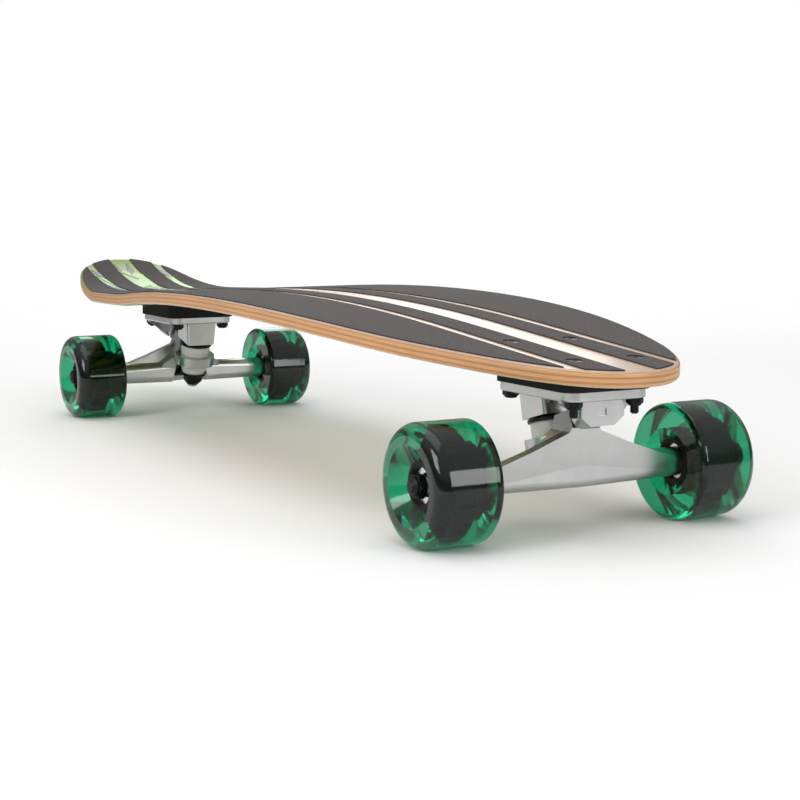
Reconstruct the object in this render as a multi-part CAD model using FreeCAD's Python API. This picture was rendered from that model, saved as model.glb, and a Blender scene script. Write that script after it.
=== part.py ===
import FreeCAD, Part
import math
import os
from FreeCAD import Placement, Rotation, Vector

# Kicktail longboard skateboard, millimetres. +X points to the nose, +Y to the rider's left, +Z up.
# The origin is on the ground, midway along the deck's length and on its centre line.

# Overall sizes
wheelbase = 600.0  # between the two axles
nose_overhang = 66.0  # deck ahead of the front axle
tail_overhang = 179.0  # deck behind the rear axle
deck_width = 208.0

# Deck laminate, from the underside up
veneer_thickness = 0.8  # one printed bamboo face on each side
core_ply_thickness = 1.5
core_ply_count = 5
deck_edge_round = 2.2

# Side profile of the deck: straight stretches at the trucks joined by bends
nose_slope = 0.085  # fall towards the nose
waist_slope = 0.09  # fall towards the tail between the camber and the rear truck
rear_slope = 0.04  # fall towards the tail over the rear truck
tail_slope = 0.42  # rise of the kicktail
waist_bend_offset = 65.0  # ahead of the rear axle
waist_bend_radius = 600.0
tail_bend_radius = 300.0
bend_margin = 8.0  # straight deck kept past each riser

# Grip tape strips on the top face
grip_thickness = 0.8
grip_centre_gap = 20.8
grip_inner_width = 19.4
grip_stripe_gap = 7.8
grip_rim = 0.4  # bare wood inside the rounded edge

# Wheels
wheel_diameter = 70.0
wheel_width = 41.0
wheel_outer_lip = 8.0
wheel_inner_lip = 3.5
wheel_recess_mouth = 23.0  # radius of the outboard recess at the wheel's face
wheel_recess_back = 20.0  # radius of the shallow inboard recess
wheel_offset = 1.5  # the urethane stands this far outboard of its core's middle
core_width = 29.0
core_wall = 2.5  # round the bearings
core_flange_height = 6.5
core_flange_width = 14.0
core_flange_foot = 1.5  # chamfer at the flange's root
core_tooth_count = 16
core_tooth_depth = 2.6
core_tooth_gap = 3.4
core_edge = 0.6

# Ball bearings
bearing_bore = 4.0  # radius
bearing_radius = 11.0
bearing_width = 7.0
ball_radius = 1.984
ball_count = 7
ball_pitch_radius = 7.5
ball_clearance = 0.045
race_land_inner = 6.05
race_land_outer = 8.95
shield_thickness = 0.4
bearing_spacer_length = 10.0

# Truck: distances are taken from the axle, outward along the board and up
truck_height = 50.0  # axle to the face that meets the riser
front_riser_height = 10.0  # at the truck's centre
rear_riser_height = 12.0
hanger_half_width = 73.0
speed_washer_thickness = 1.0
axle_nut_height = 7.0
axle_nut_flats = 13.0
axle_end_length = 1.0  # thread past the nut
axle_end_chamfer = 1.0
axle_fit = 0.02
speed_washer_wall = 1.4
spacer_wall = 1.5

# Baseplate and mounting bolts
baseplate_length = 76.0
baseplate_width = 56.0
baseplate_thickness = 5.5
baseplate_corner = 9.0
baseplate_shift = -2.0  # plate's centre, inward of the axle
bolt_spacing_long = 63.5
bolt_spacing_wide = 41.3
bolt_radius = 2.4
bolt_clearance = 0.25
bolt_head_radius = 4.8
bolt_head_height = 2.7
bolt_length = 31.5
bolt_socket_flats = 3.2
bolt_nut_flats = 8.7
bolt_nut_height = 4.6
riser_margin = 1.5

# Kingpin stack, measured along the kingpin from the middle of the hanger's ring
kingpin_lean = 15.5  # degrees, head end towards the middle of the board
ring_inward = 19.0
ring_height = 13.0
kingpin_radius = 4.76
kingpin_head_flats = 14.2
kingpin_head_height = 6.0
kingpin_end_length = 2.0
kingpin_nut_height = 8.0
ring_thickness = 8.0
ring_radius = 17.0
ring_hole_radius = 7.0
bushing_seat_depth = 1.0
bushing_radius = 12.0
bushing_bore = 5.1
bushing_gap = 0.05
boardside_bushing_height = 12.0
roadside_bushing_height = 11.0
roadside_bushing_end = 9.4
washer_thickness = 1.6
washer_lip = 1.6
washer_gap = 0.5  # between a bushing's end and the washer's rim
washer_rim = 1.2
washer_room = 1.2  # between the washer's rim and the hanger
steer_limit = 20.0  # degrees the hanger turns each way
yoke_corner = 4.8  # kept near the pivot axis so it clears the baseplate as it turns
boss_half_length = 13.0
boss_wall_slope = 0.07

# Pivot
pivot_angle = 35.7  # degrees above level, through the ring's middle
pivot_reach = 44.0  # from the ring's middle to the ball end
pivot_radius = 5.5
pivot_fit = 0.05
pivot_cup_radius = 7.5
pivot_cup_floor = 1.2
pivot_mouth_reach = 37.0
pivot_block_wall = 2.4

# Worked out from the sizes above
deck_length = nose_overhang + wheelbase + tail_overhang
nose_x = deck_length / 2
front_axle_x = nose_x - nose_overhang
rear_axle_x = front_axle_x - wheelbase
axle_height = wheel_diameter / 2
core_thickness = core_ply_thickness * core_ply_count
deck_thickness = core_thickness + 2 * veneer_thickness
baseplate_bottom = truck_height - baseplate_thickness
washer_wall = washer_gap + washer_rim
riser_half_length = baseplate_length / 2 + riser_margin
riser_half_width = baseplate_width / 2 + riser_margin
flat_reach = riser_half_length + abs(baseplate_shift) + bend_margin
front_underside_z = axle_height + truck_height + front_riser_height
rear_underside_z = axle_height + truck_height + rear_riser_height
inner_bearing_y = hanger_half_width + speed_washer_thickness
outer_bearing_y = inner_bearing_y + bearing_width + bearing_spacer_length
outer_washer_y = outer_bearing_y + bearing_width
axle_nut_y = outer_washer_y + speed_washer_thickness
axle_half_length = axle_nut_y + axle_nut_height + axle_end_length
wheel_middle_y = (inner_bearing_y + outer_washer_y) / 2
core_start_y = wheel_middle_y - core_width / 2
core_radius = bearing_radius + core_wall
core_flange_radius = core_radius + core_flange_height
tyre_start_y = wheel_middle_y - wheel_width / 2 + wheel_offset
spacer_radius = bearing_bore + spacer_wall


def prism_along_y(points, half_width):
    corners = [Vector(u, -half_width, w) for u, w in points]
    face = Part.Face(Part.makePolygon(corners + corners[:1]))
    return face.extrude(Vector(0, 2 * half_width, 0))


def prism_along_x(points, start, end):
    corners = [Vector(start, y, w) for y, w in points]
    face = Part.Face(Part.makePolygon(corners + corners[:1]))
    return face.extrude(Vector(end - start, 0, 0))


def mirrored_outline(half_points):
    return half_points + [(-y, w) for y, w in reversed(half_points)]


def hexagon(across_flats, height, bottom):
    corner = across_flats / math.sqrt(3)
    angles = [math.radians(60 * step) for step in range(6)]
    corners = [Vector(corner * math.cos(a), corner * math.sin(a), bottom) for a in angles]
    face = Part.Face(Part.makePolygon(corners + corners[:1]))
    return face.extrude(Vector(0, 0, height))


def tube(inner, outer, bottom, height):
    solid = Part.makeCylinder(outer, height, Vector(0, 0, bottom))
    if inner > 0:
        solid = solid.cut(Part.makeCylinder(inner, height + 2, Vector(0, 0, bottom - 1)))
    return solid


def turned(points):
    # revolves an outline of (radius, height) points about Z
    corners = [Vector(r, 0, h) for r, h in points]
    face = Part.Face(Part.makePolygon(corners + corners[:1]))
    return face.revolve(Vector(0, 0, 0), Vector(0, 0, 1), 360)


def hex_nut(across_flats, bore, height, bottom):
    # chamfered nut with a round locking collar at its far (lower) end
    collar_height = height * 0.28
    body = hexagon(across_flats, height - collar_height, bottom + collar_height)
    chamfer = across_flats * 0.08
    reach = across_flats / math.sqrt(3)
    top = bottom + height
    blank = turned([
        (0, bottom + collar_height), (reach - chamfer, bottom + collar_height),
        (reach, bottom + collar_height + chamfer), (reach, top - chamfer), (reach - chamfer, top), (0, top),
    ])
    collar = turned([
        (0, bottom), (across_flats * 0.36, bottom), (across_flats * 0.44, bottom + collar_height * 0.5),
        (across_flats * 0.44, bottom + collar_height), (0, bottom + collar_height),
    ])
    solid = body.common(blank).fuse(collar)
    return solid.cut(Part.makeCylinder(bore, height + 2, Vector(0, 0, bottom - 1))).removeSplitter()


def on_kingpin(shape):
    place = Placement(Vector(-ring_inward, 0, ring_height), Rotation(Vector(0, 1, 0), -kingpin_lean))
    return placed(shape, place)


def on_pivot(shape):
    place = Placement(Vector(-ring_inward, 0, ring_height), Rotation(Vector(0, 1, 0), 90 - pivot_angle))
    return placed(shape, place)


def placed(shape, place):
    moved = shape.copy()
    moved.Placement = place.multiply(moved.Placement)
    return moved


def on_axle(shape):
    # turns a stack made along Z so that it runs along +Y from the truck's middle
    return placed(shape, Placement(Vector(0, 0, 0), Rotation(Vector(1, 0, 0), -90)))


def other_side(shape):
    return placed(shape, Placement(Vector(0, 0, 0), Rotation(Vector(0, 0, 1), 180)))


def at_front(shape):
    return placed(shape, Placement(Vector(front_axle_x, 0, axle_height), Rotation()))


def at_rear(shape):
    return placed(shape, Placement(Vector(rear_axle_x, 0, axle_height), Rotation(Vector(0, 0, 1), 180)))


# Deck ---------------------------------------------------------------------------------------------


def surface_lines(height):
    # straight stretches of the surface that lies this far above the underside, nose to tail
    tail_tangent = tail_bend_radius * math.tan((math.atan(tail_slope) + math.atan(rear_slope)) / 2)
    tail_bend_x = rear_axle_x - flat_reach - tail_tangent
    waist_x = rear_axle_x + waist_bend_offset
    waist_z = rear_underside_z + rear_slope * waist_bend_offset
    tail_z = rear_underside_z - rear_slope * (rear_axle_x - tail_bend_x)
    stretches = [
        (front_axle_x, front_underside_z, -nose_slope),
        (waist_x, waist_z, waist_slope),
        (rear_axle_x, rear_underside_z, rear_slope),
        (tail_bend_x, tail_z, -tail_slope),
    ]
    return [(x, z + height * math.hypot(1, slope), slope) for x, z, slope in stretches]


def meeting_point(first, second):
    x1, z1, slope1 = first
    x2, z2, slope2 = second
    x = (z2 - z1 + slope1 * x1 - slope2 * x2) / (slope1 - slope2)
    return Vector(x, 0, z1 + slope1 * (x - x1))


def camber_radius():
    nose_line, waist_line, rear_line = surface_lines(0)[:3]
    crown = meeting_point(nose_line, waist_line)
    waist = meeting_point(waist_line, rear_line)
    half_turn = (math.atan(nose_slope) + math.atan(waist_slope)) / 2
    waist_turn = (math.atan(waist_slope) - math.atan(rear_slope)) / 2
    rear_span = crown.x - waist.x - waist_bend_radius * math.tan(waist_turn) - bend_margin
    front_span = front_axle_x - flat_reach - crown.x
    return min(rear_span, front_span) / math.tan(half_turn)


def surface_edges(height):
    # the surface's side profile as lines joined by tangent arcs, nose to tail
    lines = surface_lines(height)
    radii = [camber_radius() + height, waist_bend_radius - height, tail_bend_radius - height]
    start_x = nose_x + 20
    end_x = -nose_x - tail_bend_radius
    x, z, slope = lines[0]
    points = [Vector(start_x, 0, z + slope * (start_x - x))]
    points += [meeting_point(lines[i], lines[i + 1]) for i in range(3)]
    x, z, slope = lines[-1]
    points.append(Vector(end_x, 0, z + slope * (end_x - x)))
    edges = []
    here = points[0]
    for before, bend, after, radius in zip(points, points[1:], points[2:], radii):
        inward = (bend - before).normalize()
        outward = (after - bend).normalize()
        half_turn = inward.getAngle(outward) / 2
        tangent = radius * math.tan(half_turn)
        arc_start = bend - inward * tangent
        arc_end = bend + outward * tangent
        to_centre = (outward - inward).normalize()
        arc_middle = bend + to_centre * (radius / math.cos(half_turn) - radius)
        edges.append(Part.LineSegment(here, arc_start).toShape())
        edges.append(Part.Arc(arc_start, arc_middle, arc_end).toShape())
        here = arc_end
    edges.append(Part.LineSegment(here, points[-1]).toShape())
    return edges


def deck_slab(low, high):
    lower = surface_edges(low)
    upper = surface_edges(high)
    nose_end = Part.LineSegment(lower[0].Vertexes[0].Point, upper[0].Vertexes[0].Point).toShape()
    tail_end = Part.LineSegment(lower[-1].Vertexes[-1].Point, upper[-1].Vertexes[-1].Point).toShape()
    wire = Part.Wire(Part.__sortEdges__(lower + upper + [nose_end, tail_end]))
    slab = Part.Face(wire).extrude(Vector(0, deck_width + 40, 0))
    slab.translate(Vector(0, -deck_width / 2 - 20, 0))
    return slab


def outline_prism(inset):
    # plan outline: share of the length back from the nose, share of the half width
    shape_points = [
        (0.0, 0.0), (0.010, 0.262), (0.035, 0.445), (0.087, 0.645), (0.150, 0.808), (0.230, 0.930),
        (0.320, 0.990), (0.400, 1.0), (0.500, 0.977), (0.610, 0.902), (0.710, 0.812), (0.800, 0.716),
        (0.890, 0.597), (0.945, 0.510), (0.976, 0.405), (0.993, 0.235), (1.0, 0.0),
    ]
    length = deck_length - 2 * inset
    half_width = deck_width / 2 - inset
    left = [Vector(nose_x - inset - s * length, f * half_width, 0) for s, f in shape_points]
    right = [Vector(point.x, -point.y, 0) for point in reversed(left[1:-1])]
    curve = Part.BSplineCurve()
    curve.interpolate(Points=left + right, PeriodicFlag=True)
    face = Part.Face(Part.Wire(curve.toShape()))
    return face.extrude(Vector(0, 0, 400))


def bolt_places(axle_x, outward):
    # plan position of each mounting bolt of a truck
    middle = axle_x + outward * baseplate_shift
    half_long = bolt_spacing_long / 2
    half_wide = bolt_spacing_wide / 2
    return [(middle + i * half_long, j * half_wide) for i in (-1, 1) for j in (-1, 1)]


def deck_top_z(x):
    # height of the top face over the trucks' straight stretches
    nose_line, waist_line, rear_line, tail_line = surface_lines(deck_thickness)
    line = nose_line if x > (front_axle_x + rear_axle_x) / 2 else rear_line
    return line[1] + line[2] * (x - line[0])


def all_bolt_places():
    return bolt_places(front_axle_x, 1) + bolt_places(rear_axle_x, -1)


def bolt_shape(radius_gap):
    # countersunk bolt with its head's top at z = 0, or the hole for it with a gap all round
    head = bolt_head_radius + radius_gap
    shank = bolt_radius + radius_gap
    drop = bolt_head_height + radius_gap
    length = bolt_length + (40 if radius_gap > 0 else 0)
    top = 6 if radius_gap > 0 else 0
    tip = 0.8
    return turned([
        (0, top), (head, top), (head, -0.4), (shank, -drop), (shank, -length + tip),
        (shank - tip, -length), (0, -length),
    ])


def make_mounting_bolt():
    return bolt_shape(0).cut(hexagon(bolt_socket_flats, 3, -2.2))


def moved_to(shape, x, y, z):
    return placed(shape, Placement(Vector(x, y, z), Rotation()))


def bolt_head_z(x):
    return deck_top_z(x) + grip_thickness * 0.35


def bolt_holes():
    hole = bolt_shape(bolt_clearance)
    holes = [moved_to(hole, x, y, bolt_head_z(x)) for x, y in all_bolt_places()]
    return Part.makeCompound(holes)


def deck_body():
    body = deck_slab(0, deck_thickness).common(outline_prism(0))
    rim = [edge for edge in body.Edges if is_rim_edge(edge)]
    return body.makeFillet(deck_edge_round, rim)


def is_rim_edge(edge):
    # edges that run round the outline, not the ones that cross the deck or stand upright in its side
    box = edge.BoundBox
    crosses = box.XLength < 0.01
    upright = box.ZLength > 0.9 * deck_thickness and box.XLength < deck_thickness
    return not crosses and not upright


def make_deck():
    body = deck_body()
    holes = bolt_holes()
    core_top = veneer_thickness + core_thickness
    plies = []
    for index in range(core_ply_count):
        low = veneer_thickness + index * core_ply_thickness
        ply = body.common(deck_slab(low, low + core_ply_thickness)).cut(holes)
        plies.append(ply)
    return {
        "deck_bottom_veneer": body.common(deck_slab(-1, veneer_thickness)).cut(holes),
        "deck_core_plies": Part.makeCompound(plies),
        "deck_top_veneer": body.common(deck_slab(core_top, deck_thickness + 1)).cut(holes),
    }


def make_grip():
    layer = deck_slab(deck_thickness, deck_thickness + grip_thickness)
    layer = layer.common(outline_prism(deck_edge_round + grip_rim)).cut(bolt_holes())
    inner_start = grip_centre_gap / 2
    inner_end = inner_start + grip_inner_width
    outer_start = inner_end + grip_stripe_gap
    spans = {"grip_inner": (inner_start, inner_end), "grip_outer": (outer_start, deck_width)}
    strips = {}
    for name, (start, end) in spans.items():
        box = Part.makeBox(2 * deck_length, end - start, 400, Vector(-deck_length, start, 0))
        strips[name + "_left"] = layer.common(box)
        strips[name + "_right"] = layer.common(box.mirror(Vector(0, 0, 0), Vector(0, 1, 0)))
    return strips


# Mounting hardware and risers ---------------------------------------------------------------------


def make_mounting_bolts(axle_x, outward):
    bolt = make_mounting_bolt()
    places = bolt_places(axle_x, outward)
    return Part.makeCompound([moved_to(bolt, x, y, bolt_head_z(x)) for x, y in places])


def make_mounting_nuts(axle_x, outward):
    bottom = axle_height + baseplate_bottom - bolt_nut_height
    nut = hex_nut(bolt_nut_flats, bolt_radius + axle_fit, bolt_nut_height, bottom)
    return Part.makeCompound([moved_to(nut, x, y, 0) for x, y in bolt_places(axle_x, outward)])


def rounded_plate(length, width, corner, bottom, height, middle_x):
    box = Part.makeBox(length, width, height, Vector(middle_x - length / 2, -width / 2, bottom))
    upright = [edge for edge in box.Edges if edge.BoundBox.ZLength > height / 2]
    return box.makeFillet(corner, upright)


def make_riser(axle_x, outward):
    # wedge that fills the space between the level baseplate and the sloping deck
    middle = axle_x + outward * baseplate_shift
    length = 2 * riser_half_length
    width = 2 * riser_half_width
    pad = rounded_plate(length, width, baseplate_corner, axle_height + truck_height, 40, middle)
    return pad.cut(deck_slab(0, 60)).cut(bolt_holes())


# Baseplate ----------------------------------------------------------------------------------------


def kingpin_point(along, across):
    # a point of the truck's middle plane: along the kingpin and square to it, outward
    lean = math.radians(kingpin_lean)
    u = -ring_inward - along * math.sin(lean) + across * math.cos(lean)
    w = ring_height + along * math.cos(lean) + across * math.sin(lean)
    return u, w


def pivot_point(along, across):
    # a point of the truck's middle plane: along the pivot's axis and square to it, upward
    rise = math.radians(pivot_angle)
    u = -ring_inward + along * math.cos(rise) - across * math.sin(rise)
    w = ring_height + along * math.sin(rise) + across * math.cos(rise)
    return u, w


boss_bottom = ring_thickness / 2 - bushing_seat_depth + bushing_gap + boardside_bushing_height + washer_thickness
kingpin_head_bottom = (truck_height - ring_height) / math.cos(math.radians(kingpin_lean)) - 10.2
pivot_block_radius = pivot_cup_radius + pivot_block_wall
pivot_bore_end = pivot_reach + pivot_radius + pivot_fit + pivot_cup_floor


def make_kingpin_boss():
    inner = kingpin_point(boss_bottom, -boss_half_length)
    outer = kingpin_point(boss_bottom, boss_half_length)
    side = [inner, outer, (outer[0] - 2, truck_height - 1), (inner[0] - 3, truck_height - 1)]
    boss = prism_along_y(side, boss_half_length * 1.2)
    foot = boss_half_length * 0.92
    spread = boss_wall_slope * (truck_height - inner[1])
    front = [(foot, inner[1] - 2), (foot + spread, truck_height), (0, truck_height)]
    boss = boss.common(prism_along_x(mirrored_outline(front), -60, 60))
    upright = [edge for edge in boss.Edges if edge.BoundBox.ZLength > 8]
    return boss.makeFillet(2.5, upright)


def make_pivot_block():
    mouth_low = pivot_point(pivot_mouth_reach, -pivot_block_radius)
    mouth_high = pivot_point(pivot_mouth_reach, pivot_block_radius)
    back_low = pivot_point(pivot_bore_end - 2, -pivot_block_radius)
    top = truck_height - 1
    side = [mouth_low, back_low, (back_low[0] + 3, top), (mouth_high[0] - 1, top), mouth_high]
    block = prism_along_y(side, pivot_block_radius)
    low_edges = [edge for edge in block.Edges if edge.BoundBox.YLength < 0.1 and edge.CenterOfMass.z < top - 8]
    round_edges = [edge for edge in low_edges if abs(edge.CenterOfMass.x - (mouth_low[0] + back_low[0]) / 2) < 4]
    block = block.makeFillet(pivot_block_radius * 0.55, round_edges)
    wing_half = baseplate_width / 2 - 2
    wing = [(pivot_block_radius * 0.8, mouth_low[1] + 3), (wing_half, baseplate_bottom - 1), (wing_half, top)]
    wing_end = back_low[0] + 2.2
    wings = prism_along_x(mirrored_outline(wing), wing_end - 6, wing_end)
    recess = Part.makeBox(6, 5, 4, Vector(wing_end - 0.8, -2.5, baseplate_bottom - 9))
    return block.fuse(wings).cut(recess)


def make_side_ribs():
    # two arched ribs that tie the kingpin boss to the pivot block
    start = kingpin_point(boss_bottom, boss_half_length)[0] - 4
    end = pivot_point(pivot_mouth_reach, pivot_block_radius)[0] + 3
    middle = (start + end) / 2
    radius = (end - start) / 2 - 3
    low = baseplate_bottom - 6
    rib = Part.makeBox(end - start, 3, truck_height - 1 - low, Vector(start, pivot_block_radius - 3.5, low))
    arch = Part.makeCylinder(radius, 60, Vector(middle, -30, low - radius * 0.45), Vector(0, 1, 0))
    rib = rib.cut(arch)
    return rib.fuse(rib.mirror(Vector(0, 0, 0), Vector(0, 1, 0)))


def make_baseplate():
    flange = rounded_plate(
        baseplate_length, baseplate_width, baseplate_corner, baseplate_bottom, baseplate_thickness, baseplate_shift
    )
    flange = flange.makeFillet(1.2, [edge for edge in flange.Edges if edge.CenterOfMass.z < baseplate_bottom + 0.1])
    body = flange.fuse([make_kingpin_boss(), make_pivot_block(), make_side_ribs()])
    kingpin_hole = Part.makeCylinder(kingpin_radius + axle_fit, 60, Vector(0, 0, 0))
    head_pocket = hexagon(kingpin_head_flats + 0.2, 20, kingpin_head_bottom)
    cup_bore = Part.makeCylinder(pivot_cup_radius, pivot_bore_end, Vector(0, 0, 0))
    body = body.cut([on_kingpin(kingpin_hole), on_kingpin(head_pocket), on_pivot(cup_bore)])
    holes = []
    for x, y in bolt_places(0, 1):
        holes.append(Part.makeCylinder(bolt_radius + bolt_clearance, 30, Vector(x, y, baseplate_bottom - 10)))
        holes.append(Part.makeCylinder(bolt_nut_flats * 0.72, 9.8, Vector(x, y, baseplate_bottom - 9.8)))
    return body.cut(holes).removeSplitter()


# Kingpin stack ------------------------------------------------------------------------------------

ring_face = ring_thickness / 2 - bushing_seat_depth
roadside_washer_top = -ring_face - bushing_gap - roadside_bushing_height
nut_top = roadside_washer_top - washer_thickness
kingpin_end = nut_top - kingpin_nut_height - kingpin_end_length


def make_kingpin():
    head = hexagon(kingpin_head_flats, kingpin_head_height, kingpin_head_bottom)
    shank = turned([
        (0, kingpin_end), (kingpin_radius - 1.2, kingpin_end), (kingpin_radius, kingpin_end + 1.2),
        (kingpin_radius, kingpin_head_bottom + 1), (0, kingpin_head_bottom + 1),
    ])
    return on_kingpin(head.fuse(shank).removeSplitter())


def make_kingpin_nut():
    bottom = nut_top - kingpin_nut_height
    return on_kingpin(hex_nut(kingpin_head_flats, kingpin_radius + axle_fit, kingpin_nut_height, bottom))


def make_boardside_bushing():
    low = ring_face + bushing_gap
    high = low + boardside_bushing_height
    radius = bushing_radius
    return on_kingpin(turned([
        (bushing_bore, low), (radius - 0.8, low), (radius, low + 0.8), (radius + 0.4, (low + high) / 2),
        (radius, high - 0.8), (radius - 0.8, high), (bushing_bore, high),
    ]))


def make_roadside_bushing():
    high = -ring_face - bushing_gap
    low = high - roadside_bushing_height
    return on_kingpin(turned([
        (bushing_bore, low), (roadside_bushing_end - 0.8, low), (roadside_bushing_end, low + 0.8),
        (bushing_radius, high - 2.5), (bushing_radius, high - 0.8), (bushing_radius - 0.8, high),
        (bushing_bore, high),
    ]))


def cup_washer(bushing_end_radius, face, lip_direction):
    # flat washer whose turned rim holds the end of a bushing
    inner = bushing_end_radius + washer_gap
    outer = inner + washer_rim
    back = face - lip_direction * washer_thickness
    lip = face + lip_direction * washer_lip
    return turned([
        (bushing_bore - 0.2, face), (inner, face), (inner, lip), (outer, lip),
        (outer, face - lip_direction * 0.3), (inner - 0.6, back), (bushing_bore - 0.2, back),
    ])


def make_boardside_washer():
    return on_kingpin(cup_washer(bushing_radius, boss_bottom - washer_thickness, -1))


def make_roadside_washer():
    return on_kingpin(cup_washer(roadside_bushing_end, roadside_washer_top, 1))


def make_pivot_cup():
    bore = pivot_radius + pivot_fit
    outside = turned([
        (0, pivot_mouth_reach - 1), (pivot_cup_radius, pivot_mouth_reach - 1),
        (pivot_cup_radius, pivot_bore_end), (0, pivot_bore_end),
    ])
    hollow = Part.makeCylinder(bore, pivot_reach).fuse(Part.makeSphere(bore, Vector(0, 0, pivot_reach)))
    return on_pivot(outside.cut(hollow))


# Hanger -------------------------------------------------------------------------------------------


def rounded_section(y, long_size, high_size, corner):
    plate = rounded_plate(long_size, high_size, corner, 0, 1, 0)
    bottom = [face for face in plate.Faces if abs(face.CenterOfMass.z) < 0.001][0]
    place = Placement(Vector(0, y, 0), Rotation(Vector(1, 0, 0), 90))
    return placed(bottom.OuterWire, place)


def make_hanger_bar():
    bar_end = rounded_section(hanger_half_width, 16.5, 16.5, 6.5)
    bar_middle = rounded_section(0, 19, 17.5, 4.5)
    half = Part.makeLoft([bar_middle, bar_end], True, True)
    return half.fuse(other_side(half))


def make_hanger():
    bar_face = 8.6  # outer face of the bar and foot of the web
    foot_low = -2.0
    web_top = pivot_point(pivot_mouth_reach - 3.2, -pivot_radius - 1.6)
    neck_half = 8.5
    web_thickness = 8.5
    side = [
        (bar_face, foot_low), web_top, (web_top[0] - web_thickness * 0.8, web_top[1] - 0.5),
        (bar_face - web_thickness, foot_low),
    ]
    reach = hanger_half_width - 6
    front = [
        (reach, foot_low - 1), (reach, 4), (reach * 0.52, web_top[1] * 0.55), (neck_half + 2, web_top[1] - 2.5),
        (neck_half, web_top[1] + 4), (0, web_top[1] + 4),
    ]
    web = prism_along_y(side, reach).common(prism_along_x(mirrored_outline(front), -60, 60))
    yoke_side = [
        kingpin_point(ring_thickness / 2, 4), pivot_point(20, 8.4), pivot_point(pivot_mouth_reach - 3.2, yoke_corner),
        web_top, (bar_face, foot_low), (-4, -6), kingpin_point(-ring_thickness / 2, 6),
    ]
    yoke_front = [(30, -9), (26, 8), (ring_radius - 1, 15), (neck_half + 1, 24), (7, 40), (0, 40)]
    yoke = prism_along_y(yoke_side, 34).common(prism_along_x(mirrored_outline(yoke_front), -60, 60))
    ring = on_kingpin(tube(0, ring_radius, -ring_thickness / 2, ring_thickness))
    stem_end = pivot_mouth_reach - 2.2
    stem = on_pivot(turned([(0, 14), (10, 14), (7.2, stem_end), (pivot_radius, stem_end + 0.6), (0, stem_end + 0.6)]))
    pin = on_pivot(Part.makeCylinder(pivot_radius, pivot_reach - 14, Vector(0, 0, 14)))
    ball = on_pivot(Part.makeSphere(pivot_radius, Vector(0, 0, pivot_reach)))
    body = make_hanger_bar().fuse([web, yoke, ring, stem, pin, ball])
    scallop_depth = ring_thickness / 2 - kingpin_end + 30
    scallop = on_kingpin(Part.makeCone(
        bushing_radius + 2.2, bushing_radius + 13, scallop_depth, Vector(0, 0, -ring_thickness / 2), Vector(0, 0, -1)
    ))
    room_height = 26
    room_start = bushing_radius + washer_wall + washer_room
    room_end = room_start + room_height * math.sin(math.radians(steer_limit))
    stack_room = on_kingpin(Part.makeCone(
        room_start, room_end, room_height, Vector(0, 0, ring_thickness / 2), Vector(0, 0, 1)
    ))
    body = body.cut([scallop, stack_room])
    seats = [tube(0, bushing_radius + 0.6, ring_face, 10), tube(0, bushing_radius + 0.6, -ring_face - 10, 10)]
    seats.append(tube(0, ring_hole_radius, -20, 40))
    bore = Part.makeCylinder(bearing_bore + axle_fit, 400, Vector(0, -200, 0), Vector(0, 1, 0))
    return body.cut([on_kingpin(Part.makeCompound(seats)), bore]).removeSplitter()


# Axle and its small parts -------------------------------------------------------------------------


def on_both_ends(shape):
    turned_shape = on_axle(shape)
    return Part.makeCompound([turned_shape, other_side(turned_shape)])


def make_axle():
    half = axle_half_length
    return on_axle(turned([
        (0, -half), (bearing_bore - axle_end_chamfer, -half), (bearing_bore, axle_end_chamfer - half),
        (bearing_bore, half - axle_end_chamfer), (bearing_bore - axle_end_chamfer, half), (0, half),
    ]))


def make_axle_nuts():
    # the locking collar faces outward
    nut = hex_nut(axle_nut_flats, bearing_bore + axle_fit, axle_nut_height, 0)
    flipped = placed(nut, Placement(Vector(0, 0, axle_nut_y + axle_nut_height), Rotation(Vector(1, 0, 0), 180)))
    return on_both_ends(flipped)


def make_speed_washers():
    inner = bearing_bore + axle_fit
    outer = bearing_bore + speed_washer_wall
    places = (hanger_half_width, outer_washer_y)
    return on_both_ends(Part.makeCompound([tube(inner, outer, y, speed_washer_thickness) for y in places]))


def make_bearing_spacers():
    start = inner_bearing_y + bearing_width
    return on_both_ends(tube(bearing_bore + axle_fit, spacer_radius, start, bearing_spacer_length))


def ball_groove(start):
    middle = start + bearing_width / 2
    return Part.makeTorus(ball_pitch_radius, ball_radius + ball_clearance, Vector(0, 0, middle))


def inner_race(start):
    return tube(bearing_bore + axle_fit, race_land_inner, start, bearing_width).cut(ball_groove(start))


def outer_race(start):
    # outer ring with a thin shield pressed into each face
    ring = tube(race_land_outer, bearing_radius, start, bearing_width).cut(ball_groove(start))
    shield_inner = race_land_inner + 0.35
    low = tube(shield_inner, race_land_outer + 0.1, start + 0.25, shield_thickness)
    high = tube(shield_inner, race_land_outer + 0.1, start + bearing_width - 0.25 - shield_thickness, shield_thickness)
    return ring.fuse([low, high]).removeSplitter()


def ball_set(start):
    # the balls of one bearing and the snap-in ring that spaces them
    middle = start + bearing_width / 2
    angles = [2 * math.pi * step / ball_count for step in range(ball_count)]
    places = [Vector(ball_pitch_radius * math.cos(a), ball_pitch_radius * math.sin(a), middle) for a in angles]
    balls = [Part.makeSphere(ball_radius, place) for place in places]
    pockets = [Part.makeSphere(ball_radius + ball_clearance, place) for place in places]
    retainer = tube(ball_pitch_radius - 0.9, ball_pitch_radius + 0.9, middle - 0.7, 2.9).cut(pockets)
    return balls + [retainer]


def make_inner_races():
    return on_both_ends(Part.makeCompound([inner_race(inner_bearing_y), inner_race(outer_bearing_y)]))


# Wheels -------------------------------------------------------------------------------------------


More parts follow.
